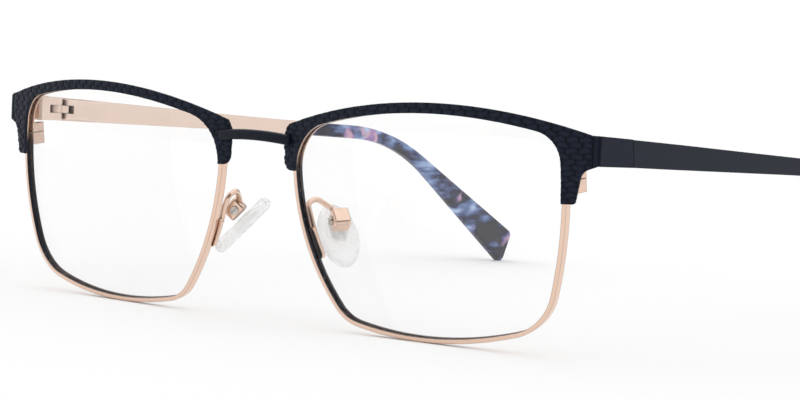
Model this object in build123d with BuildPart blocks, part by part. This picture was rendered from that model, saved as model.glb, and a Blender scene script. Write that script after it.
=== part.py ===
from build123d import *
from math import cos, radians, sin, sqrt, tan
import os

# Browline spectacles, standing open on a table: the rim bottoms and the tip ends are at z = 0.
# Millimetres. +X is the wearer's left, -Y is the way the wearer looks, +Z is up.
# Each sub-part is made once on the wearer's left (+X) and mirrored for the right.

# ---- how the front stands ----
TILT = 7.57  # the front leans forward at the top
FRONT_Y = -77.2
FRONT_Z = 17.018  # height of the lens centre line where it crosses the front plane

# ---- lens opening, in the front plane (x, height) ----
TOP_IN = (8.8, 15.95)
TOP_OUT = (59.8, 17.7)
LOW_OUT = (56.75, -12.52)
LOW_IN = (18.95, -14.44)
TOP_BOW = 3.8
OUT_BOW = 1.95
LOW_BOW = 2.65
IN_BOW = 3.2
TOP_IN_RADIUS = 8.0
TOP_OUT_RADIUS = 5.4
LOW_OUT_RADIUS = 9.2
LOW_IN_RADIUS = 6.5

# ---- the base curve: both faces of a rim lie on balls about one centre ----
BALL_X = 25.2
BALL_BACK = 128.35
RIM_BALL = 131.0
RIM_WIDTH = 0.75
RIM_DEPTH = 1.45
RAYS = 262.0  # walls lean to a point this far behind, so they only half follow the ball
RAYS_BACK = 13.0  # how far outlines reach before the balls trim them
RAYS_FRONT = 1.5
REACH = 14.0  # longer than any cut needs to be
FILM = 0.02  # solder film left between pieces that are brazed together

# ---- lens, held by a ridge in a groove ----
LENS_SETBACK = 0.15
LENS_THICK = 1.15
LENS_PLAY = 0.03
RIDGE_HIGH = 0.38
RIDGE_WIDE = 0.5
GROOVE_HIGH = 0.45
GROOVE_WIDE = 0.58

# ---- brow bar ----
BROW_PROUD = 0.6  # plate thickness in front of the rim
BROW_TOP_IN = (6.85, 17.15)
BROW_TOP_OUT = (66.05, 17.85)
BROW_BOW = 4.9
BROW_END_LOW = (66.05, 13.35)
LEG_OUT_TOP = (63.7, 12.5)
LEG_OUT_LOW = (62.75, 7.4)
LEG_OUT_RADIUS = 2.0
LEG_IN_LOW = (6.2, 9.5)
LEG_IN_TOP = (5.9, 15.4)
LEG_IN_RADIUS = 1.7
LEG_INSIDE = 4.0  # far enough in to lie inside the lens opening
CORNER_RADIUS = 0.6

# ---- bridge ----
BRIDGE_HALF = 7.9
BRIDGE_HEIGHT = 15.15
BRIDGE_ARCH = 0.55
BRIDGE_TALL = 1.75
BRIDGE_FRONT = 2.15
BRIDGE_BOW = 0.55
BRIDGE_BACK = 0.8
BRIDGE_ROUND = 0.45

# ---- end piece, a bent strip ----
SIDE_X = 66.85
CORNER_X = 66.4
CORNER_BACK = 4.9
STRIP = 1.2
END_PIECE_IN = 62.62
END_PIECE_BACK = 13.25
END_FRONT_LEG_BACK = 6.0
END_CORNER_BACK = 7.0
END_TOP = (19.05, 16.62)  # heights at the front and at the hinge
END_LOW = (14.05, 12.08)

# ---- rim lock: the rim is split behind the temporal leg and screwed shut ----
SPLIT_HEIGHT = 11.05
SPLIT_GAP = 0.12
LOCK_IN = 60.55
LOCK_OUT = 62.15
LOCK_BACK = 7.5
LOCK_LOW = 8.85
LOCK_HIGH = 12.7
LOCK_SCREW_X = 61.35
LOCK_SCREW_Y = 6.35
LOCK_SCREW_R = 0.45
LOCK_HEAD_R = 0.62
LOCK_HEAD_HIGH = 0.45

# ---- hinge, about an upright axis ----
HINGE_X = 64.1
HINGE_FRONT_Y = 13.4
HINGE_FRONT_Z = 14.3
BARREL_R = 1.4
LEAF_HALF = 2.15
LEAF_FRONT = -4.9
LEAF_IN = -1.3
SLOT_HALF = 0.75
SLOT_FRONT = -2.4
SCREW_R = 0.6
SCREW_HEAD_R = 0.95
SCREW_HEAD_HIGH = 0.45
BUSH_IN_R = 0.64
BUSH_OUT_R = 0.85
EYE_R = 0.88
KNUCKLE_R = 1.35
KNUCKLE_HALF = 0.72
NECK_HALF = 0.95
NECK_END = 2.7

# ---- spring box on the temple ----
TEMPLE_DROP = 2.3  # slope of the temple below the horizontal
TEMPLE_SPLAY = 0.65  # the temples close in slightly towards the ears
BOX_START = 1.65
BOX_END = 12.4
BOX_HALF = 1.85
BOX_IN = -1.5
BORE_R = 0.95
BORE_START = 4.3
BORE_END = 11.9
BOX_SLOT_END = 3.5
ROD_R = 0.42
ROD_HOLE_R = 0.5
ROD_START = 1.75
ROD_HEAD_R = 0.88
ROD_HEAD_START = 10.6
ROD_HEAD_END = 11.3
SPRING_R = 0.68
SPRING_WIRE_R = 0.13
SPRING_PITCH = 0.62

# ---- temple bar and tip, along the temple from the hinge axis ----
BAR_IN = 1.54
BAR_HALF_FRONT = 2.2
BAR_HALF_MID = 1.55
BAR_HALF_BACK = 1.42
BAR_MID = 50.0
TIP_START = 74.0
BEND = 102.0
BEND_ANGLE = 28.1
CORE_HALF = 0.7
CORE_THICK = 0.8
CORE_SLOPE_LENGTH = 36.0
TIP_THICK = 2.2
TIP_TOP_CORNER = (102.0, 1.42)
TIP_TOP_END = (149.1, -20.5)
TIP_LOW_END = (145.95, -27.81)
TIP_LOW_CORNER = (104.3, -1.42)
TIP_TOP_RADIUS = 58.0
TIP_LOW_RADIUS = 46.0
TIP_END_RADIUS = 1.4
TIP_ROUND = 0.75

# ---- nose pads ----
PAD_CENTRE = (10.95, 6.5, -2.55)  # x, back, height from the front plane's origin
PAD_UP = (-0.60, 0.41, 0.68)
PAD_NOSE = (-0.577, 0.365, -0.730)
PAD_LONG = 12.9
PAD_WIDE = 7.0
PAD_THICK = 2.3
PAD_ROUND = 1.0
CORE_PLATE = (4.6, 2.6, 0.7)
STEM_LONG = 1.7
STEM_WIDE = 1.6
STEM_OUT = 3.7
CLIP_RISE = 1.1  # the clip sits above the pad's middle
CLIP_START = 1.65
CLIP_END = 4.5
CLIP_LONG = 3.3
CLIP_WIDE = 3.0
CLIP_WALL = 0.5
CLIP_ROUND = 0.48
PAD_AXIS_OUT = 2.9
PAD_SCREW_R = 0.45
PAD_SCREW_HOLE_R = 0.5
PAD_HEAD_R = 0.75
PAD_HEAD_HIGH = 0.45
ARM_R = 0.48
ARM_ROUTE = [
    (10.6, 0.75, -0.9),
    (9.75, 0.8, 1.8),
    (8.95, 1.1, 3.7),
    (9.1, 3.3, 4.2),
    (10.2, 5.0, 2.7),
]
ARM_RADII = [2.4, 1.3, 1.5]
TAB_CENTRE = (11.45, -0.26, -2.8)
TAB_LONG = 5.6
TAB_WIDE = 1.5
TAB_THICK = 0.75


def front_point(x, back, height):
    """A point of the front's own frame, placed where the front stands."""
    return FRONT.from_local_coords((x, height, -back))


def write_pair(part, name):
    """Writes a finished piece for the wearer's left, and its mirror image for the right."""
    part.label = f"{name}_left"
    export_step(part, f"parts/{name}_left.step")
    twin = mirror(part, about=Plane.YZ)
    twin.label = f"{name}_right"
    export_step(twin, f"parts/{name}_right.step")


os.makedirs("parts", exist_ok=True)
lean = radians(TILT)
FRONT = Plane(
    origin=(0, FRONT_Y, FRONT_Z),
    x_dir=(1, 0, 0),
    z_dir=(0, -cos(lean), -sin(lean)),
)
BALL = front_point(BALL_X, BALL_BACK, 0)
# The drawing plane for outlines on the ball: it touches the rim's ball in front of its centre.
FACE = Plane(
    origin=front_point(BALL_X, BALL_BACK - RIM_BALL, 0),
    x_dir=FRONT.x_dir,
    z_dir=FRONT.z_dir,
)
# The front seen from above: x, and the distance back.
ABOVE = Plane(origin=(0, FRONT_Y, FRONT_Z), x_dir=(1, 0, 0), z_dir=(0, -sin(lean), cos(lean)))
# The front seen from the wearer's left: the distance back, and the height.
ASIDE = Plane(origin=(0, FRONT_Y, FRONT_Z), x_dir=(0, cos(lean), sin(lean)), z_dir=(1, 0, 0))

HINGE = front_point(HINGE_X, HINGE_FRONT_Y, HINGE_FRONT_Z)
LEVEL = Plane(origin=HINGE, x_dir=(1, 0, 0), z_dir=(0, 0, 1))
drop = radians(TEMPLE_DROP)
splay = radians(TEMPLE_SPLAY)
# The temple seen from outside: along the temple from the hinge axis, and up. Its normal points out.
TEMPLE = Plane(
    origin=HINGE,
    x_dir=(-sin(splay) * cos(drop), cos(splay) * cos(drop), -sin(drop)),
    z_dir=(cos(splay), sin(splay), 0),
)
# A cross-section of the temple at the hinge axis, facing back along it.
ACROSS = Plane(origin=HINGE, x_dir=TEMPLE.z_dir, z_dir=TEMPLE.x_dir)

# ---- lens opening and the solids cut with it ----
SIDES = (
    (TOP_IN, TOP_OUT, TOP_BOW, TOP_IN_RADIUS),
    (TOP_OUT, LOW_OUT, OUT_BOW, TOP_OUT_RADIUS),
    (LOW_OUT, LOW_IN, LOW_BOW, LOW_OUT_RADIUS),
    (LOW_IN, TOP_IN, IN_BOW, LOW_IN_RADIUS),
)


def on_face(point):
    """Where the wall line through a point of the ball meets the drawing plane."""
    x, height = point[0] - BALL_X, point[1]
    sag = RIM_BALL - sqrt(RIM_BALL**2 - x**2 - height**2)
    spread = RAYS / (RAYS - sag)
    return Vector(x * spread, height * spread)


def bowed(start, end, bow):
    """An arc on the drawing plane over a chord of the front, bowed to the left of start to end."""
    side = Vector(*end) - Vector(*start)
    middle = Vector(*start) + side / 2 + Vector(-side.Y, side.X).normalized() * bow
    return on_face(start), on_face((middle.X, middle.Y)), on_face(end)


def opening(grow):
    """The lens opening grown by an amount: where four large discs overlap, with rounded corners."""
    with BuildSketch() as outline:
        for count, (start, end, bow, _) in enumerate(SIDES):
            edge = ThreePointArc(*bowed(start, end, bow), mode=Mode.PRIVATE)
            with Locations(edge.arc_center):
                Circle(edge.radius + grow, mode=Mode.INTERSECT if count else Mode.ADD)
        for start, _, _, radius in SIDES:
            corner = outline.vertices().sort_by_distance(on_face(start))[0]
            fillet(corner, radius=radius + grow)
    return outline.sketch_local


def between_balls(outline, outer_ball, inner_ball):
    """The slab between two balls inside the wall lines through an outline."""
    with BuildPart() as slab:
        for depth in (-RAYS_BACK, RAYS_FRONT):
            with BuildSketch(FACE.offset(depth)):
                add(outline)
                scale(by=(RAYS + depth) / RAYS)
        loft(ruled=True)
        with Locations(BALL):
            Sphere(outer_ball, mode=Mode.INTERSECT)
            Sphere(inner_ball, mode=Mode.SUBTRACT)
    return slab.part


def shell(grow, outer_ball, inner_ball):
    """The lens opening grown by an amount, as a curved slab between two balls."""
    return between_balls(opening(grow), outer_ball, inner_ball)


groove_mid = RIM_BALL - LENS_SETBACK - LENS_THICK / 2
rim_seat = shell(RIM_WIDTH + FILM, RIM_BALL + FILM, RIM_BALL - RIM_DEPTH - FILM)
groove = shell(GROOVE_HIGH, groove_mid + GROOVE_WIDE / 2, groove_mid - GROOVE_WIDE / 2)


# ---- rim: a grooved wire, split behind the temporal leg ----
def make_rim():
    with BuildPart() as rim:
        add(shell(RIM_WIDTH, RIM_BALL, RIM_BALL - RIM_DEPTH))
        add(shell(0, RIM_BALL + 0.5, RIM_BALL - RIM_DEPTH - 0.5), mode=Mode.SUBTRACT)
        add(groove, mode=Mode.SUBTRACT)
        with BuildSketch(ABOVE.offset(SPLIT_HEIGHT)):
            with Locations((LOCK_IN, 0)):
                Rectangle(REACH, REACH)
        extrude(amount=SPLIT_GAP / 2, both=True, mode=Mode.SUBTRACT)
    return rim


# ---- lens: a thin curved pane with a ridge round its edge ----
def make_lens():
    front_ball = RIM_BALL - LENS_SETBACK
    with BuildPart() as lens:
        add(shell(-LENS_PLAY, front_ball, front_ball - LENS_THICK))
        add(shell(RIDGE_HIGH, groove_mid + RIDGE_WIDE / 2, groove_mid - RIDGE_WIDE / 2))
    return lens


# ---- brow bar: a plate over the front of the rim's upper half ----
def make_brow_bar():
    with BuildSketch() as face:
        with BuildLine():
            ThreePointArc(*bowed(BROW_TOP_IN, BROW_TOP_OUT, BROW_BOW))
            Polyline(
                on_face(BROW_TOP_OUT),
                on_face(BROW_END_LOW),
                on_face(LEG_OUT_TOP),
                on_face(LEG_OUT_LOW),
                on_face((LEG_OUT_LOW[0] - LEG_INSIDE, LEG_OUT_LOW[1])),
                on_face((LEG_IN_LOW[0] + LEG_INSIDE, LEG_IN_LOW[1])),
                on_face(LEG_IN_LOW),
                on_face(LEG_IN_TOP),
                on_face(BROW_TOP_IN),
            )
        make_face()
        for corner, radius in (
            (LEG_OUT_TOP, LEG_OUT_RADIUS),
            (LEG_OUT_LOW, CORNER_RADIUS),
            (LEG_IN_LOW, LEG_IN_RADIUS),
            (LEG_IN_TOP, CORNER_RADIUS),
            (BROW_TOP_IN, CORNER_RADIUS),
        ):
            fillet(face.vertices().sort_by_distance(on_face(corner))[0], radius=radius)
        add(opening(0), mode=Mode.SUBTRACT)
    with BuildPart() as brow_bar:
        add(between_balls(face.sketch_local, RIM_BALL + BROW_PROUD, RIM_BALL + FILM))
    return brow_bar


# ---- bridge: a bowed bar brazed across the two nasal legs ----
def make_bridge():
    with BuildPart() as bridge:
        with BuildSketch(ABOVE.offset(BRIDGE_HEIGHT - 2 * BRIDGE_TALL)):
            with BuildLine():
                Line((-BRIDGE_HALF, -BRIDGE_BACK), (-BRIDGE_HALF, -BRIDGE_FRONT))
                SagittaArc((-BRIDGE_HALF, -BRIDGE_FRONT), (BRIDGE_HALF, -BRIDGE_FRONT), -BRIDGE_BOW)
                Line((BRIDGE_HALF, -BRIDGE_FRONT), (BRIDGE_HALF, -BRIDGE_BACK))
                SagittaArc((BRIDGE_HALF, -BRIDGE_BACK), (-BRIDGE_HALF, -BRIDGE_BACK), BRIDGE_BOW)
            make_face()
        extrude(amount=4 * BRIDGE_TALL)
        low = BRIDGE_HEIGHT - BRIDGE_TALL / 2 - BRIDGE_ARCH
        high = BRIDGE_HEIGHT + BRIDGE_TALL / 2 - BRIDGE_ARCH
        with BuildSketch(FRONT):
            with BuildLine():
                SagittaArc((-BRIDGE_HALF, high), (BRIDGE_HALF, high), BRIDGE_ARCH)
                Line((BRIDGE_HALF, high), (BRIDGE_HALF, low))
                SagittaArc((BRIDGE_HALF, low), (-BRIDGE_HALF, low), -BRIDGE_ARCH)
                Line((-BRIDGE_HALF, low), (-BRIDGE_HALF, high))
            make_face()
        extrude(amount=REACH, both=True, mode=Mode.INTERSECT)
        fillet(bridge.edges(), radius=BRIDGE_ROUND)
        with Locations(BALL, (-BALL.X, BALL.Y, BALL.Z)):
            Sphere(RIM_BALL + BROW_PROUD + FILM, mode=Mode.SUBTRACT)
    return bridge


# ---- end piece: a strip that turns the corner from the brow bar to the hinge ----
def make_end_piece():
    with BuildPart() as end_piece:
        with BuildSketch(ABOVE) as bend:
            with BuildLine():
                Polyline(
                    (END_PIECE_IN, 0),
                    (CORNER_X, 0),
                    (CORNER_X, CORNER_BACK),
                    (SIDE_X, END_PIECE_BACK),
                    (SIDE_X - STRIP, END_PIECE_BACK),
                    (SIDE_X - STRIP, END_CORNER_BACK),
                    (END_PIECE_IN, END_FRONT_LEG_BACK),
                    (END_PIECE_IN, 0),
                )
            make_face()
            fillet(bend.vertices().sort_by_distance((SIDE_X - STRIP, END_CORNER_BACK))[0], radius=0.8)
        extrude(amount=2 * REACH)
        with BuildSketch(ASIDE):
            with BuildLine():
                Polyline(
                    (0, END_TOP[0]),
                    (END_PIECE_BACK, END_TOP[1]),
                    (END_PIECE_BACK, END_LOW[1]),
                    (0, END_LOW[0]),
                    close=True,
                )
            make_face()
        extrude(amount=2 * SIDE_X, mode=Mode.INTERSECT)
        with Locations(BALL):
            Sphere(RIM_BALL, mode=Mode.INTERSECT)
    return end_piece


# ---- rim lock blocks and their screw ----
def make_lock(low, high, hole_r):
    with BuildPart() as lock:
        with BuildSketch(ABOVE.offset(low)):
            with BuildLine():
                Polyline(
                    (LOCK_IN, 0),
                    (LOCK_OUT, 0),
                    (LOCK_OUT, LOCK_BACK - 0.5),
                    (LOCK_OUT - 0.5, LOCK_BACK),
                    (LOCK_IN + 0.5, LOCK_BACK),
                    (LOCK_IN, LOCK_BACK - 0.5),
                    (LOCK_IN, 0),
                )
            make_face()
            with Locations((LOCK_SCREW_X, LOCK_SCREW_Y)):
                Circle(hole_r, mode=Mode.SUBTRACT)
        extrude(amount=high - low)
        with Locations(BALL):
            Sphere(RIM_BALL, mode=Mode.INTERSECT)
        add(rim_seat, mode=Mode.SUBTRACT)
        if low == LOCK_LOW:
            with BuildSketch(ABOVE.offset(low)):
                with Locations((LOCK_SCREW_X, LOCK_SCREW_Y)):
                    Circle(LOCK_HEAD_R + FILM)
            extrude(amount=LOCK_HEAD_HIGH + 0.2, mode=Mode.SUBTRACT)
    return lock


def make_lock_screw():
    with BuildPart() as screw:
        with BuildSketch(ABOVE.offset(LOCK_LOW + 0.2)):
            with Locations((LOCK_SCREW_X, LOCK_SCREW_Y)):
                Circle(LOCK_HEAD_R)
        extrude(amount=LOCK_HEAD_HIGH)
        with BuildSketch(ABOVE.offset(LOCK_LOW + 0.2)):
            with Locations((LOCK_SCREW_X, LOCK_SCREW_Y)):
                Circle(LOCK_SCREW_R)
        extrude(amount=LOCK_HIGH - LOCK_LOW - 1.2)
        with BuildSketch(ABOVE.offset(LOCK_LOW + 0.2)):
            with Locations((LOCK_SCREW_X, LOCK_SCREW_Y)):
                Rectangle(2 * LOCK_HEAD_R, 0.22)
        extrude(amount=0.2, mode=Mode.SUBTRACT)
    return screw


# ---- hinge: the front leaf with two lugs, its screw and the bush on it ----
def make_hinge_leaf():
    with BuildPart() as leaf:
        with BuildSketch(LEVEL):
            with BuildLine():
                Polyline(
                    (LEAF_IN, LEAF_FRONT + 0.4),
                    (LEAF_IN + 0.4, LEAF_FRONT),
                    (BAR_IN - FILM, LEAF_FRONT),
                    (BAR_IN - FILM, -0.9),
                    (BARREL_R, -0.3),
                    (BARREL_R, 0),
                    (-BARREL_R, 0),
                    (LEAF_IN, -2.0),
                    (LEAF_IN, LEAF_FRONT + 0.4),
                )
            make_face()
            Circle(BARREL_R)
            Circle(SCREW_R + FILM, mode=Mode.SUBTRACT)
        extrude(amount=LEAF_HALF, both=True)
        with BuildSketch(LEVEL):
            with Locations((0, SLOT_FRONT)):
                Rectangle(2 * REACH, REACH, align=(Align.CENTER, Align.MIN))
        extrude(amount=SLOT_HALF, both=True, mode=Mode.SUBTRACT)
        with BuildSketch(LEVEL.offset(LEAF_HALF)):
            Circle(SCREW_HEAD_R + FILM)
        extrude(amount=-SCREW_HEAD_HIGH - FILM, mode=Mode.SUBTRACT)
    return leaf


def make_hinge_screw():
    with BuildPart() as screw:
        with BuildSketch(LEVEL.offset(LEAF_HALF)):
            Circle(SCREW_HEAD_R)
        extrude(amount=-SCREW_HEAD_HIGH)
        with BuildSketch(LEVEL.offset(LEAF_HALF - SCREW_HEAD_HIGH)):
            Circle(SCREW_R)
        extrude(amount=-2 * LEAF_HALF + SCREW_HEAD_HIGH)
        with BuildSketch(LEVEL.offset(LEAF_HALF)):
            Rectangle(2 * SCREW_HEAD_R, 0.3)
        extrude(amount=-0.22, mode=Mode.SUBTRACT)
    return screw


def make_hinge_bush():
    with BuildPart() as bush:
        with BuildSketch(LEVEL):
            Circle(BUSH_OUT_R)
            Circle(BUSH_IN_R, mode=Mode.SUBTRACT)
        extrude(amount=KNUCKLE_HALF, both=True)
    return bush


# ---- spring hinge: the slider with the middle knuckle, its rod, spring and box ----
def make_slider():
    with BuildPart() as slider:
        with BuildSketch(TEMPLE):
            with BuildLine():
                Polyline(
                    (0.4, KNUCKLE_HALF - 0.02),
                    (NECK_END, KNUCKLE_HALF - 0.02),
                    (NECK_END, 0.02 - KNUCKLE_HALF),
                    (0.4, 0.02 - KNUCKLE_HALF),
                    close=True,
                )
            make_face()
        extrude(amount=NECK_HALF, both=True)
        with BuildSketch(LEVEL):
            Circle(KNUCKLE_R)
        extrude(amount=KNUCKLE_HALF, both=True)
        with BuildSketch(LEVEL):
            Circle(EYE_R)
        extrude(amount=2 * KNUCKLE_HALF, both=True, mode=Mode.SUBTRACT)
        with BuildSketch(ACROSS.offset(ROD_START - 0.1)):
            Circle(ROD_R + FILM)
        extrude(amount=NECK_END, mode=Mode.SUBTRACT)
    return slider


def make_spring_rod():
    with BuildPart() as rod:
        with BuildSketch(ACROSS.offset(ROD_START)):
            Circle(ROD_R)
        extrude(amount=ROD_HEAD_END - ROD_START)
        with BuildSketch(ACROSS.offset(ROD_HEAD_START)):
            Circle(ROD_HEAD_R)
        extrude(amount=ROD_HEAD_END - ROD_HEAD_START)
    return rod


def make_spring():
    length = ROD_HEAD_START - BORE_START - 2 * SPRING_WIRE_R - 0.1
    start = ACROSS.offset(BORE_START + SPRING_WIRE_R + 0.05).origin
    with BuildPart() as spring:
        with BuildLine() as coil:
            Helix(SPRING_PITCH, length, SPRING_R, center=start, direction=ACROSS.z_dir)
        with BuildSketch(Plane(origin=coil.line @ 0, z_dir=coil.line % 0)):
            Circle(SPRING_WIRE_R)
        sweep(is_frenet=True)
    return spring


def make_spring_box():
    with BuildPart() as box:
        with BuildSketch(TEMPLE.offset(BOX_IN)):
            with Locations(((BOX_START + BOX_END) / 2, 0)):
                Rectangle(BOX_END - BOX_START, 2 * BOX_HALF)
        extrude(amount=BAR_IN - FILM - BOX_IN)
        fillet(box.faces().sort_by(Axis(HINGE, -TEMPLE.z_dir))[-1].edges(), radius=0.4)
        with BuildSketch(ACROSS.offset(BORE_START)):
            Circle(BORE_R)
        extrude(amount=BORE_END - BORE_START, mode=Mode.SUBTRACT)
        with BuildSketch(ACROSS.offset(BOX_START - 1)):
            Circle(ROD_HOLE_R)
        extrude(amount=BORE_START - BOX_START + 2, mode=Mode.SUBTRACT)
        with BuildSketch(TEMPLE):
            with Locations((0, 0)):
                Rectangle(2 * BOX_SLOT_END, 2 * KNUCKLE_HALF + 0.08)
        extrude(amount=-REACH, mode=Mode.SUBTRACT)
        with BuildSketch(TEMPLE):
            Rectangle(2 * BOX_SLOT_END, 2 * KNUCKLE_HALF + 0.08)
        extrude(amount=NECK_HALF + 0.1, mode=Mode.SUBTRACT)
    return box


# ---- temple bar: a tapering strip whose narrow core runs on inside the tip ----
def core_outline(grow):
    """The core's outline along the temple, grown all round by an amount."""
    slope = radians(BEND_ANGLE)
    with BuildSketch() as core:
        with BuildLine():
            FilletPolyline(
                (TIP_START - 1, 0),
                (BEND, 0),
                (BEND + CORE_SLOPE_LENGTH * cos(slope), -CORE_SLOPE_LENGTH * sin(slope)),
                radius=50,
            )
            offset(amount=CORE_HALF + grow)
        make_face()
    return core.sketch_local


def make_temple_bar():
    joint_lean = tan(radians(TILT + TEMPLE_DROP))
    with BuildPart() as bar:
        with BuildSketch(TEMPLE.offset(BAR_IN)):
            with BuildLine():
                Spline(
                    (-BAR_HALF_FRONT * joint_lean, BAR_HALF_FRONT),
                    (BAR_MID / 2, (BAR_HALF_FRONT + BAR_HALF_MID) / 2 + 0.02),
                    (BAR_MID, BAR_HALF_MID),
                    (TIP_START, BAR_HALF_BACK),
                )
                Line((TIP_START, BAR_HALF_BACK), (TIP_START, -BAR_HALF_BACK))
                Spline(
                    (TIP_START, -BAR_HALF_BACK),
                    (BAR_MID, -BAR_HALF_MID),
                    (BAR_MID / 2, -(BAR_HALF_FRONT + BAR_HALF_MID) / 2 - 0.02),
                    (BAR_HALF_FRONT * joint_lean, -BAR_HALF_FRONT),
                )
                Line(
                    (BAR_HALF_FRONT * joint_lean, -BAR_HALF_FRONT),
                    (-BAR_HALF_FRONT * joint_lean, BAR_HALF_FRONT),
                )
            make_face()
        extrude(amount=STRIP)
        with BuildSketch(TEMPLE.offset(BAR_IN + (STRIP - CORE_THICK) / 2)):
            add(core_outline(0))
        extrude(amount=CORE_THICK)
    return bar


# ---- temple tip: an acetate sleeve that bends down behind the ear and widens ----
def make_temple_tip():
    tip_in = BAR_IN + STRIP / 2 - TIP_THICK / 2
    with BuildPart() as tip:
        with BuildSketch(TEMPLE.offset(tip_in)) as side:
            with BuildLine():
                Polyline(
                    (TIP_START, BAR_HALF_BACK),
                    TIP_TOP_CORNER,
                    TIP_TOP_END,
                    TIP_LOW_END,
                    TIP_LOW_CORNER,
                    (TIP_START, -BAR_HALF_BACK),
                    close=True,
                )
            make_face()
            for corner, radius in (
                (TIP_TOP_CORNER, TIP_TOP_RADIUS),
                (TIP_LOW_CORNER, TIP_LOW_RADIUS),
                (TIP_TOP_END, TIP_END_RADIUS),
                (TIP_LOW_END, TIP_END_RADIUS),
            ):
                fillet(side.vertices().sort_by_distance(corner)[0], radius=radius)
        extrude(amount=TIP_THICK)
        fillet(tip.edges().filter_by(lambda edge: edge.is_interior is False), radius=TIP_ROUND)
        with BuildSketch(TEMPLE.offset(BAR_IN + (STRIP - CORE_THICK) / 2 - FILM)):
            add(core_outline(FILM))
        extrude(amount=CORE_THICK + 2 * FILM, mode=Mode.SUBTRACT)
    return tip


# ---- nose pad: a clear pad on a core whose stem rocks in a clip at the end of a wire arm ----
up = Vector(*PAD_UP).normalized()
nose = Vector(*PAD_NOSE)
nose = (nose - up * nose.dot(up)).normalized()


def turned(direction):
    """A direction of the front's own frame (x, back, height), as it stands."""
    return FRONT.from_local_coords((direction.X, direction.Z, -direction.Y)) - FRONT.origin


PAD = Plane(origin=front_point(*PAD_CENTRE), x_dir=turned(up), z_dir=turned(nose))
# Along the pad's screw, through the middle of the clip.
PAD_AXIS = Plane(
    origin=PAD.from_local_coords((CLIP_RISE, 0, -PAD_AXIS_OUT)),
    x_dir=PAD.x_dir,
    z_dir=PAD.y_dir,
)


def make_nose_pad():
    with BuildPart() as pad:
        with BuildSketch(PAD.offset(-PAD_THICK / 2)):
            Ellipse(PAD_LONG / 2, PAD_WIDE / 2)
        extrude(amount=PAD_THICK)
        fillet(pad.edges(), radius=PAD_ROUND)
        add(make_pad_core_blank(FILM), mode=Mode.SUBTRACT)
    return pad


def make_pad_core_blank(grow):
    """The core's plate and stem, grown by an amount."""
    with BuildPart() as blank:
        with BuildSketch(PAD.offset(-CORE_PLATE[2] / 2 - grow)):
            with Locations((CLIP_RISE, 0)):
                RectangleRounded(CORE_PLATE[0] + 2 * grow, CORE_PLATE[1] + 2 * grow, 0.8)
        extrude(amount=CORE_PLATE[2] + 2 * grow)
        with BuildSketch(PAD):
            with Locations((CLIP_RISE, 0)):
                Rectangle(STEM_LONG + 2 * grow, STEM_WIDE + 2 * grow)
        extrude(amount=-STEM_OUT - grow)
    return blank.part


def make_pad_core():
    with BuildPart() as core:
        add(make_pad_core_blank(0))
        with BuildSketch(PAD_AXIS):
            Circle(PAD_SCREW_HOLE_R)
        extrude(amount=REACH, both=True, mode=Mode.SUBTRACT)
    return core


def make_pad_clip():
    with BuildPart() as clip:
        with BuildSketch(PAD.offset(-CLIP_START)):
            with Locations((CLIP_RISE, 0)):
                Rectangle(CLIP_LONG, CLIP_WIDE)
        extrude(amount=CLIP_START - CLIP_END)
        fillet(clip.edges(), radius=CLIP_ROUND)
        with BuildSketch(PAD.offset(-CLIP_START + CLIP_WALL)):
            with Locations((CLIP_RISE, 0)):
                Rectangle(CLIP_LONG - 2 * CLIP_WALL, CLIP_WIDE - 2 * CLIP_WALL)
        extrude(amount=CLIP_START - CLIP_END, mode=Mode.SUBTRACT)
        with BuildSketch(PAD_AXIS):
            Circle(PAD_SCREW_R + FILM)
        extrude(amount=REACH, both=True, mode=Mode.SUBTRACT)
    return clip


def make_pad_screw():
    half = CLIP_WIDE / 2
    with BuildPart() as screw:
        with BuildSketch(PAD_AXIS.offset(-half - PAD_HEAD_HIGH)):
            Circle(PAD_HEAD_R)
        extrude(amount=PAD_HEAD_HIGH - FILM)
        with BuildSketch(PAD_AXIS.offset(-half - PAD_HEAD_HIGH)):
            Circle(PAD_SCREW_R)
        extrude(amount=CLIP_WIDE + PAD_HEAD_HIGH + 0.35)
        with BuildSketch(PAD_AXIS.offset(-half - PAD_HEAD_HIGH)):
            Rectangle(2 * PAD_HEAD_R, 0.22)
        extrude(amount=0.2, mode=Mode.SUBTRACT)
    return screw


def make_pad_arm():
    clip_top = PAD.from_local_coords((CLIP_RISE + CLIP_LONG / 2 - 0.2, 0, -(CLIP_START + CLIP_END) / 2))
    route = [front_point(*point) for point in ARM_ROUTE] + [clip_top]
    along_rim = front_point(ARM_ROUTE[0][0], 0, ARM_ROUTE[0][2]) - front_point(TAB_CENTRE[0], 0, TAB_CENTRE[2])
    tab_plane = Plane(origin=front_point(*TAB_CENTRE), x_dir=along_rim, z_dir=-FRONT.z_dir)
    with BuildPart() as arm:
        with BuildLine() as path:
            FilletPolyline(*route, radius=ARM_RADII + [1.2])
        with BuildSketch(Plane(origin=path.line @ 0, z_dir=path.line % 0)):
            Circle(ARM_R)
        sweep()
        with BuildSketch(tab_plane):
            SlotOverall(TAB_LONG, TAB_WIDE)
        extrude(amount=TAB_THICK)
        with BuildSketch(PAD.offset(-CLIP_START)):
            with Locations((CLIP_RISE, 0)):
                Rectangle(CLIP_LONG, CLIP_WIDE)
        extrude(amount=CLIP_START - CLIP_END, mode=Mode.SUBTRACT)
    return arm


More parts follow.
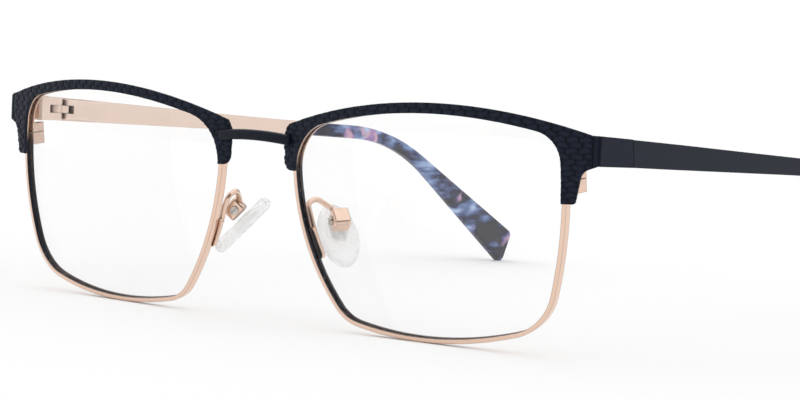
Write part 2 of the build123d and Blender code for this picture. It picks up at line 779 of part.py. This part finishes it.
pairs = {
    "rim": make_rim(),
    "lens": make_lens(),
    "brow_bar": make_brow_bar(),
    "end_piece": make_end_piece(),
    "rim_lock_upper": make_lock(SPLIT_HEIGHT + SPLIT_GAP / 2, LOCK_HIGH, LOCK_SCREW_R + FILM),
    "rim_lock_lower": make_lock(LOCK_LOW, SPLIT_HEIGHT - SPLIT_GAP / 2, LOCK_SCREW_R + FILM),
    "rim_lock_screw": make_lock_screw(),
    "hinge_leaf": make_hinge_leaf(),
    "hinge_screw": make_hinge_screw(),
    "hinge_bush": make_hinge_bush(),
    "hinge_slider": make_slider(),
    "spring_rod": make_spring_rod(),
    "hinge_spring": make_spring(),
    "spring_box": make_spring_box(),
    "temple_bar": make_temple_bar(),
    "temple_tip": make_temple_tip(),
    "nose_pad": make_nose_pad(),
    "pad_core": make_pad_core(),
    "pad_clip": make_pad_clip(),
    "pad_screw": make_pad_screw(),
    "pad_arm": make_pad_arm(),
}
for name, piece in pairs.items():
    write_pair(piece.part, name)

bridge = make_bridge()
bridge.part.label = "bridge"
export_step(bridge.part, "parts/bridge.step")
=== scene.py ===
import math
import bpy
from mathutils import Matrix, Vector, noise


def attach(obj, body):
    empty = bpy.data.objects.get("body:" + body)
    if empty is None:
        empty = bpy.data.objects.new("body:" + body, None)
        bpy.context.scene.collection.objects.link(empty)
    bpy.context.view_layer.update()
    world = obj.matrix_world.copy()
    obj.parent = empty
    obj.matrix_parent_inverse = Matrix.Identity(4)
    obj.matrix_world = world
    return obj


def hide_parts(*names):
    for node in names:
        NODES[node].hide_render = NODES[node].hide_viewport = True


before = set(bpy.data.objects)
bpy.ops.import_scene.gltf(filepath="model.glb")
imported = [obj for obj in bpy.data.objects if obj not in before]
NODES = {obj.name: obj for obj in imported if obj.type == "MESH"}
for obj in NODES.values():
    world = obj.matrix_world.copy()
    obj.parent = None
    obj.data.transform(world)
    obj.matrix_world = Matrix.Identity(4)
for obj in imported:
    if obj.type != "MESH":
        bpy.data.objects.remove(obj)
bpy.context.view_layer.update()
MM = 0.001

# ---- how the front stands, as in the CAD source, in metres ----
TILT = math.radians(7.57)
FRONT_AT = Vector((0, -0.0772, 0.017018))
BALL = Vector((0.0252, 0.12835, 0))  # centre of the ball the front is wrapped on: x, back, height
BALL_RIM = 131.0 * MM
PLATE = 0.6 * MM  # brow bar in front of the rim

# ---- camera, given in the front's own frame: x, back, height ----
CAMERA_AT = Vector((0.2957, -0.3282, 0.0737))
CAMERA_YAW = math.radians(39.0)
CAMERA_PITCH = math.radians(9.106)
CAMERA_ROLL = math.radians(-1.703)
CAMERA_LENS = 118.0
CAMERA_SENSOR = 36.0

# ---- knitted relief on the brow bars ----
ROW = 0.87 * MM  # height of a row of stitches
STITCH = 2.1 * MM  # width of a stitch
RELIEF = 0.24 * MM  # depth of the gaps between stitches
SCALLOP = 0.16 * MM  # how far the gaps bite into the edge beside the nose
FINE = 0.11 * MM  # size of the mesh that carries the relief
BAND_AT = 65.45 * MM  # where the relief stops short of the plate's outer end
BAND_GROOVE = 0.25 * MM  # half the width of the groove between the relief and the smooth end
ROW_WAVE = 0.13  # how far the rows wander up and down, in rows
GAP_SHIFT = 0.12  # how far the gaps of one row stand off an even brick bond, in stitches
LUMP = 0.18  # how unevenly high the stitches are
SHOULDER = 0.35  # height that is left in the gap between rows, at the middle of a stitch
SMOOTH_END = 0.6  # height of the smooth end, against the tops of the stitches
NOSE_EDGE = 7.2 * MM  # the plate's edge beside the nose lies inside this distance from the middle

# ---- rims ----
LENS_MIDDLE = (34.5 * MM, 2 * MM, 0)  # middle of a lens, in the front's own frame
WALL_LOW = 27.0 * MM  # the painted dark reflection covers all the rim's inner wall below this height
WALL_HIGH = 29.5 * MM  # and all rose gold above this one

# ---- painted shade on metal, in crevices and along edges ----
EDGE = 0.10 * MM  # how far edges look rounded
RIM_EDGE = 0.22 * MM
CREVICE = 1.6 * MM  # how near a face has to be to shade another
SHUT = 0.15  # share of open surroundings at which the painted crevice shade is darkest
OPEN = 0.60  # share at which it shows no painted shade
RIM_OPEN = 0.30
LINE_DARK = 0.75  # how dark the painted shade lines along edges are

# ---- colours, linear ----
NAVY = (0.0060, 0.0085, 0.0165)
# painted shade for the gaps of the knitted relief, and painted light for its stitch tops
NAVY_GAP_SHADE = (0.0010, 0.0016, 0.0040)
NAVY_STITCH_LIT = (0.0125, 0.0180, 0.0340)
SLATE = (0.0100, 0.0135, 0.0260)
ROSE = (0.82, 0.60, 0.48)
ROSE_PALE = (0.86, 0.69, 0.59)
# painted shade that rose gold takes in crevices and along edges
ROSE_PAINTED_SHADE = (0.22, 0.12, 0.08)
STEEL = (0.62, 0.59, 0.56)


def from_front(point):
    """A point of the front's own frame (x, back, height), in metres, where the front stands."""
    return Matrix.Rotation(TILT, 3, "X") @ Vector(point) + FRONT_AT


def to_front(point):
    """A point in space, given in the front's own frame."""
    return Matrix.Rotation(-TILT, 3, "X") @ (Vector(point) - FRONT_AT)


# ---- material helpers ----
class Recipe:
    """A node material that is written one node at a time."""

    def __init__(self, name, **values):
        self.material = bpy.data.materials.new(name)
        self.material.use_nodes = True
        self.tree = self.material.node_tree
        self.shader = self.tree.nodes["Principled BSDF"]
        self.places = self.tree.nodes.new("ShaderNodeTexCoord").outputs
        for key, value in values.items():
            self.shader.inputs[key.replace("_", " ")].default_value = value

    def node(self, kind, *links, **values):
        """A new node with its settings, its first inputs linked or set in turn."""
        made = self.tree.nodes.new("ShaderNode" + kind)
        for key, value in values.items():
            if key in made.inputs:
                made.inputs[key].default_value = value
            else:
                setattr(made, key, value)
        for count, source in enumerate(links):
            if isinstance(source, bpy.types.NodeSocket):
                self.tree.links.new(source, made.inputs[count])
            else:
                made.inputs[count].default_value = source
        return made

    def feed(self, name, source):
        self.tree.links.new(source, self.shader.inputs[name])

    def noise(self, scale, detail=3.0, stretch=(1, 1, 1), turn=(0, 0, 0), shift=(0, 0, 0)):
        """Noise on the object's own coordinates; scale counts features per metre."""
        place = self.node("Mapping", self.places["Object"], Scale=stretch, Rotation=turn, Location=shift)
        return self.node("TexNoise", place.outputs["Vector"], Scale=scale, Detail=detail).outputs["Fac"]

    def spread(self, source, low, high, start=0.0, end=1.0, smooth=False):
        """Maps start to end onto low to high."""
        kind = "SMOOTHSTEP" if smooth else "LINEAR"
        made = self.node("MapRange", source, start, end, low, high, interpolation_type=kind)
        return made.outputs["Result"]

    def sum(self, operation, first, second):
        return self.node("Math", first, second, operation=operation).outputs[0]

    def blend(self, share, first, second):
        """A colour from first to second as share goes from 0 to 1."""
        made = self.node("Mix", share, data_type="RGBA")
        for socket, colour in zip((made.inputs[6], made.inputs[7]), (first, second)):
            if isinstance(colour, bpy.types.NodeSocket):
                self.tree.links.new(colour, socket)
            else:
                socket.default_value = (*colour, 1)
        return made.outputs[2]

    def ramp(self, source, stops):
        made = self.node("ValToRGB", source)
        points = made.color_ramp.elements
        while len(points) < len(stops):
            points.new(1.0)
        for point, (place, colour) in zip(points, stops):
            point.position = place
            point.color = (*colour, 1)
        return made.outputs["Color"]

    def rough(self, low, high, scale=3000):
        self.feed("Roughness", self.spread(self.noise(scale, 2), low, high))

    def with_painted_shade(self, colour, dark, edge, open_to=OPEN):
        """A colour with painted shade: darker in crevices, from ambient occlusion, and along the lines
        where faces meet.
        """
        # painted shade from ambient occlusion, darkest where other faces are near
        shade = self.node("AmbientOcclusion", Distance=CREVICE, samples=6).outputs["AO"]
        shade = self.spread(shade, 1.0, 0.0, SHUT, open_to)
        # painted shade along edges, where the rounded normal bends away from the flat one
        rounded = self.node("Bevel", edge, samples=6).outputs["Normal"]
        flat = self.node("NewGeometry").outputs["Normal"]
        bend = self.node("VectorMath", rounded, flat, operation="DOT_PRODUCT").outputs["Value"]
        line = self.spread(bend, LINE_DARK, 0.0, 0.80, 0.95)
        return self.blend(self.sum("MAXIMUM", shade, line), colour, dark)

    def relief(self, height, strength, depth, edge=0.0):
        """Bump from a height, over edges that catch the light as if rounded by edge."""
        bump = self.node("Bump", Strength=strength, Distance=depth)
        self.tree.links.new(height, bump.inputs["Height"])
        if edge:
            bevel = self.node("Bevel", edge, samples=4)
            self.tree.links.new(bevel.outputs["Normal"], bump.inputs["Normal"])
        self.feed("Normal", bump.outputs["Normal"])


def metal(name, colour, low, high, edge=EDGE):
    """Plated metal with fine, faint polishing marks."""
    recipe = Recipe(name, Metallic=1.0)
    cloud = recipe.spread(recipe.noise(700, 3), 0.0, 1.0, 0.35, 0.65)
    plating = recipe.blend(cloud, tuple(0.95 * part for part in colour), colour)
    # painted shade: the plating darkens to a fifth of its colour in crevices and along edges
    recipe.feed("Base Color", recipe.with_painted_shade(plating, tuple(0.2 * part for part in colour), edge))
    recipe.rough(low, high)
    recipe.relief(recipe.noise(5000, 2), 0.05, 0.02 * MM, edge)
    return recipe


def lacquer(name, colour, low, high):
    """Satin lacquer with a fine, faint orange peel."""
    recipe = Recipe(name, Specular_IOR_Level=0.12)
    cloud = recipe.spread(recipe.noise(900, 3), 0.0, 1.0, 0.35, 0.65)
    recipe.feed("Base Color", recipe.blend(cloud, tuple(0.85 * part for part in colour), colour))
    recipe.rough(low, high)
    recipe.relief(recipe.noise(7000, 2), 0.08, 0.02 * MM, EDGE)
    return recipe


def outward(recipe):
    """1 on faces that look away from the head, or forward, down to -1 on those that look in."""
    facing = recipe.node("SeparateXYZ", recipe.places["Normal"]).outputs
    place = recipe.node("SeparateXYZ", recipe.places["Object"]).outputs
    side = recipe.node("Math", place["X"], operation="SIGN").outputs[0]
    return recipe.sum("SUBTRACT", recipe.sum("MULTIPLY", facing["X"], side), facing["Y"])


def two_tone(name):
    """Slate lacquer outside and bare rose gold plating inside."""
    recipe = Recipe(name, Specular_IOR_Level=0.12)
    inside = recipe.spread(outward(recipe), 1.0, 0.0, -0.45, -0.30)
    cloud = recipe.spread(recipe.noise(900, 3), 0.0, 1.0, 0.35, 0.65)
    slate = recipe.blend(cloud, tuple(0.85 * part for part in SLATE), SLATE)
    # painted shade in the crevices and along the edges of the rose gold inside
    plating = recipe.with_painted_shade(ROSE_PALE, ROSE_PAINTED_SHADE, EDGE)
    recipe.feed("Base Color", recipe.blend(inside, slate, plating))
    recipe.feed("Metallic", recipe.spread(inside, 0.0, 1.0))
    recipe.rough(0.36, 0.46)
    recipe.relief(recipe.noise(7000, 2), 0.08, 0.02 * MM, EDGE)
    return recipe


def rim_metal(name, side):
    """Polished rose gold, with a painted dark reflection in navy on the lower part of the wall that
    faces the lens.
    """
    recipe = Recipe(name, Specular_IOR_Level=0.12)
    middle = from_front((side * LENS_MIDDLE[0], *LENS_MIDDLE[1:]))
    arm = recipe.node("VectorMath", recipe.places["Object"], middle, operation="SUBTRACT")
    arm = recipe.node("VectorMath", arm.outputs[0], operation="NORMALIZE")
    facing = recipe.node("VectorMath", arm.outputs[0], recipe.places["Normal"], operation="DOT_PRODUCT")
    height = recipe.node("SeparateXYZ", recipe.places["Object"]).outputs["Z"]
    low = recipe.spread(height, 1.0, 0.0, WALL_LOW, WALL_HIGH)
    # painted dark reflection: navy, not metal, on the inner wall below WALL_LOW
    wall = recipe.sum("MULTIPLY", recipe.spread(facing.outputs["Value"], 1.0, 0.0, -0.55, -0.40), low)
    # painted shade in the crevices and along the edges of the rim
    plating = recipe.with_painted_shade(ROSE, ROSE_PAINTED_SHADE, RIM_EDGE, RIM_OPEN)
    recipe.feed("Base Color", recipe.blend(wall, plating, NAVY))
    recipe.feed("Metallic", recipe.spread(wall, 1.0, 0.0))
    recipe.rough(0.14, 0.22)
    recipe.relief(recipe.noise(5000, 2), 0.05, 0.02 * MM, RIM_EDGE)
    return recipe


def knitted():
    """Dark navy lacquer, with painted shade in the gaps of the relief and painted light on the stitch
    tops.
    """
    recipe = Recipe("knitted_navy", Specular_IOR_Level=0.10)
    height = recipe.node("Attribute", attribute_name="stitch").outputs["Fac"]
    # painted shade and light: the colour follows the relief's height, darkest in the gaps
    recipe.feed("Base Color", recipe.blend(height, NAVY_GAP_SHADE, NAVY_STITCH_LIT))
    recipe.rough(0.34, 0.50)
    recipe.relief(recipe.noise(6000, 3), 0.25, 0.03 * MM)
    return recipe


def acetate():
    """Polished sheet in clouds of charcoal, navy, slate blue, pale blue, lilac and pink."""
    recipe = Recipe("mottled_acetate", Specular_IOR_Level=0.12, Coat_Weight=0.04, Coat_Roughness=0.04)
    clouds = recipe.noise(150, 2.5, stretch=(0.6, 0.8, 1.4), turn=(0.6, 0, 0))
    streaks = recipe.noise(420, 3, stretch=(0.4, 0.25, 2.2), turn=(1.0, 0, 0))
    mixed = recipe.sum("ADD", clouds, recipe.spread(streaks, -0.14, 0.14))
    cool = recipe.ramp(
        mixed,
        (
            (0.00, (0.012, 0.012, 0.018)),
            (0.42, (0.012, 0.012, 0.022)),
            (0.47, (0.014, 0.015, 0.060)),
            (0.52, (0.055, 0.085, 0.200)),
            (0.58, (0.150, 0.220, 0.420)),
            (0.66, (0.400, 0.520, 0.720)),
        ),
    )
    warm = recipe.ramp(
        recipe.noise(230, 3, shift=(0.3, 0.1, 0.2), turn=(0.6, 0, 0)),
        (
            (0.00, (0.012, 0.010, 0.050)),
            (0.40, (0.060, 0.030, 0.180)),
            (0.50, (0.260, 0.160, 0.400)),
            (0.60, (0.580, 0.360, 0.460)),
        ),
    )
    patches = recipe.noise(105, 2, shift=(0.7, 0.4, 0.9), turn=(0.6, 0, 0))
    share = recipe.spread(patches, 0.0, 1.0, 0.50, 0.56, smooth=True)
    recipe.feed("Base Color", recipe.blend(share, cool, warm))
    recipe.rough(0.10, 0.16, 1500)
    recipe.relief(recipe.noise(260, 2), 0.04, 0.1 * MM)
    return recipe


def clear(name, tint, rough, refraction, solidity, **values):
    """Clear material. solidity is how much of it shows, against plain see-through."""
    settings = {"Transmission_Weight": 1.0, "IOR": refraction, "Alpha": solidity} | values
    recipe = Recipe(name, **settings)
    cloud = recipe.spread(recipe.noise(300, 2), 0.0, 1.0, 0.35, 0.65)
    recipe.feed("Base Color", recipe.blend(cloud, tuple(0.98 * part for part in tint), tint))
    recipe.rough(rough, rough + 0.03)
    return recipe


rose_satin = metal("rose_gold_satin", ROSE_PALE, 0.30, 0.40)
rose_polished = metal("rose_gold_polished", ROSE, 0.12, 0.20, RIM_EDGE)
steel = metal("steel", STEEL, 0.22, 0.30)
nylon = Recipe("nylon", Subsurface_Weight=0.2, Subsurface_Radius=(0.5 * MM, 0.5 * MM, 0.5 * MM))
nylon.feed("Base Color", nylon.blend(nylon.noise(800), (0.70, 0.70, 0.68), (0.76, 0.76, 0.74)))
nylon.rough(0.4, 0.5)
navy = lacquer("navy_lacquer", NAVY, 0.30, 0.40)
slate = two_tone("slate_and_rose_gold")
lens_clear = clear("clear_lens", (1.0, 1.0, 1.0), 0.0, 1.5, 0.04)
MILKY = {"Transmission_Weight": 0.55, "Specular_IOR_Level": 0.3}
silicone = clear("clear_silicone", (0.97, 0.97, 0.97), 0.25, 1.41, 0.58, **MILKY)
core_clear = clear("clear_core", (0.97, 0.97, 0.97), 0.10, 1.43, 0.12)


def paint(node, recipe):
    mesh = NODES[node].data
    mesh.materials.clear()
    mesh.materials.append(recipe.material)


FINISHES = {
    "lens": lens_clear, "end_piece": slate, "rim_lock_upper": rose_polished,
    "rim_lock_lower": rose_polished, "rim_lock_screw": steel, "hinge_leaf": rose_satin,
    "hinge_screw": steel, "hinge_bush": nylon, "hinge_slider": rose_satin, "spring_rod": steel,
    "hinge_spring": steel, "spring_box": rose_satin, "temple_bar": slate, "temple_tip": acetate(),
    "nose_pad": silicone, "pad_core": core_clear, "pad_clip": rose_polished, "pad_screw": steel,
    "pad_arm": rose_polished,
}
for name, finish in FINISHES.items():
    for side in ("left", "right"):
        paint(f"{name}_{side}", finish)
paint("rim_left", rim_metal("rim_rose_gold_left", 1))
paint("rim_right", rim_metal("rim_rose_gold_right", -1))
paint("bridge", navy)


# ---- brow bars: the plain plates, remeshed finely and pressed with knitted rows ----
def stitch_height(x, height):
    """How high the relief stands at a place on the plate: 0 in a gap, up to 1 on a stitch."""
    rows = height / ROW + ROW_WAVE * math.sin(2 * math.pi * x / STITCH) + 0.3
    row = math.floor(rows)
    across = 2 * (rows - row) - 1
    places = x / STITCH + 0.5 * (row % 2) + GAP_SHIFT * math.sin(2.4 * row)
    place = math.floor(places)
    along = 2 * (places - place) - 1
    lump = 1 - LUMP + LUMP * noise.noise((1.7 * place, 2.3 * row, along))
    shoulder = SHOULDER * (1 - along**2)
    round_across = shoulder + (1 - shoulder) * (1 - abs(across) ** 2.4) ** 0.7
    round_along = (1 - abs(along) ** 3) ** 0.6
    band = (x - BAND_AT) / BAND_GROOVE
    return round_across * round_along * lump if band < -1 else min(1, abs(band)) * SMOOTH_END


def knitted_bar(side, sign, recipe):
    """The brow bar of one side, remeshed finely, with the relief pressed into its front face."""
    plain = NODES[f"brow_bar_{side}"]
    piece = bpy.data.objects.new(f"brow_cover_{side}", plain.data.copy())
    bpy.context.scene.collection.objects.link(piece)
    remesh = piece.modifiers.new("fine", "REMESH")
    remesh.mode = "VOXEL"
    remesh.voxel_size = FINE
    shown = piece.evaluated_get(bpy.context.evaluated_depsgraph_get())
    piece.data = bpy.data.meshes.new_from_object(shown)
    piece.modifiers.clear()
    centre = Vector((sign * BALL.x, BALL.y, BALL.z))
    heights = piece.data.attributes.new("stitch", "FLOAT", "POINT").data
    for vertex, stored in zip(piece.data.vertices, heights):
        place = to_front(vertex.co)
        ray = place - centre
        front = min(1, max(0, (ray.length - BALL_RIM) / (0.6 * PLATE)))
        x = sign * place.x
        height = stitch_height(x, place.z)
        bite = (1 - height) * SCALLOP * min(1, max(0, (NOSE_EDGE - x) / MM))
        place -= ray.normalized() * (RELIEF * (1 - height) * front)
        place.x += sign * bite
        vertex.co = from_front(place)
        # the height, kept as the stitch attribute, also sets the painted shade and light of the knit's
        # colour
        stored.value = height
    piece.data.shade_smooth()
    piece.data.materials.clear()
    piece.data.materials.append(recipe.material)
    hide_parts(f"brow_bar_{side}")
    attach(piece, "front")


knit = knitted()
knitted_bar("left", 1, knit)
knitted_bar("right", -1, knit)

# ---- camera ----
right = Vector((math.cos(CAMERA_YAW), math.sin(CAMERA_YAW), 0))
ahead = Vector((
    -math.sin(CAMERA_YAW) * math.cos(CAMERA_PITCH),
    math.cos(CAMERA_YAW) * math.cos(CAMERA_PITCH),
    -math.sin(CAMERA_PITCH),
))
up = right.cross(ahead)
rolled_right = right * math.cos(CAMERA_ROLL) + up * math.sin(CAMERA_ROLL)
rolled_up = up * math.cos(CAMERA_ROLL) - right * math.sin(CAMERA_ROLL)
turn = Matrix.Rotation(TILT, 3, "X")
pose = Matrix((turn @ rolled_right, turn @ rolled_up, turn @ -ahead)).transposed().to_4x4()
camera = bpy.data.objects.new("camera", bpy.data.cameras.new("camera"))
camera.data.lens = CAMERA_LENS
camera.data.sensor_width = CAMERA_SENSOR
camera.data.clip_start = 0.01
camera.data.clip_end = 100.0
camera.matrix_world = Matrix.Translation(from_front(CAMERA_AT)) @ pose
bpy.context.scene.collection.objects.link(camera)
bpy.context.scene.camera = camera

# ---- floor ----
bpy.ops.mesh.primitive_plane_add(size=30, location=(0, 0, 0))
floor = bpy.context.object
floor.name = "floor"
floor_recipe = Recipe("floor", Roughness=1.0, Specular_IOR_Level=0.0)
shades = (0.94, 0.94, 0.94), (0.95, 0.95, 0.95)
floor_recipe.feed("Base Color", floor_recipe.blend(floor_recipe.noise(3), *shades))
floor.data.materials.append(floor_recipe.material)

# ---- world: plain white to the eye and to the floor, a studio with soft boxes to the gloss ----
world = bpy.data.worlds.new("studio")
bpy.context.scene.world = world
world.use_nodes = True
sky = world.node_tree
WALLS = 0.85  # strength of the studio's walls, as the gloss sees them
BACKDROP = 1.06  # strength of the plain white that all else sees


def studio_patch(before, toward, start, end, strength):
    """Adds light of a strength round a direction, from start to end in cosines, to the light before."""
    direction = sky.nodes.new("ShaderNodeTexCoord").outputs["Generated"]
    dot = sky.nodes.new("ShaderNodeVectorMath")
    dot.operation = "DOT_PRODUCT"
    sky.links.new(direction, dot.inputs[0])
    dot.inputs[1].default_value = Vector(toward).normalized()
    edge = sky.nodes.new("ShaderNodeMapRange")
    edge.interpolation_type = "SMOOTHSTEP"
    sky.links.new(dot.outputs["Value"], edge.inputs["Value"])
    edge.inputs["From Min"].default_value = start
    edge.inputs["From Max"].default_value = end
    edge.inputs["To Max"].default_value = strength
    total = sky.nodes.new("ShaderNodeMath")
    total.operation = "ADD"
    sky.links.new(edge.outputs["Result"], total.inputs[0])
    if isinstance(before, float):
        total.inputs[1].default_value = before
    else:
        sky.links.new(before, total.inputs[1])
    return total.outputs[0]


STUDIO = (  # direction, where its edge starts and ends in cosines, strength
    ((0, 0, 1), 0.45, 0.80, 0.35),  # soft box overhead
    ((-1, -0.5, 0.2), 0.80, 0.92, 0.25),  # soft box beside the wearer's right
    ((0.66, -0.74, 0.12), 0.50, 0.82, -0.82),  # dark room in front, on the wearer's left
    ((-0.1, 1.0, 0.15), 0.90, 0.98, -0.45),  # darker wall behind
)
gloss = WALLS
for patch in STUDIO:
    gloss = studio_patch(gloss, *patch)
rays = sky.nodes.new("ShaderNodeLightPath").outputs
pick = sky.nodes.new("ShaderNodeMix")
sky.links.new(rays["Is Glossy Ray"], pick.inputs["Factor"])
pick.inputs[2].default_value = BACKDROP
sky.links.new(gloss, pick.inputs[3])
sky.links.new(pick.outputs[0], sky.nodes["Background"].inputs["Strength"])
sky.nodes["Background"].inputs["Color"].default_value = (1, 1, 1, 1)
bpy.context.scene.view_settings.view_transform = "Standard"
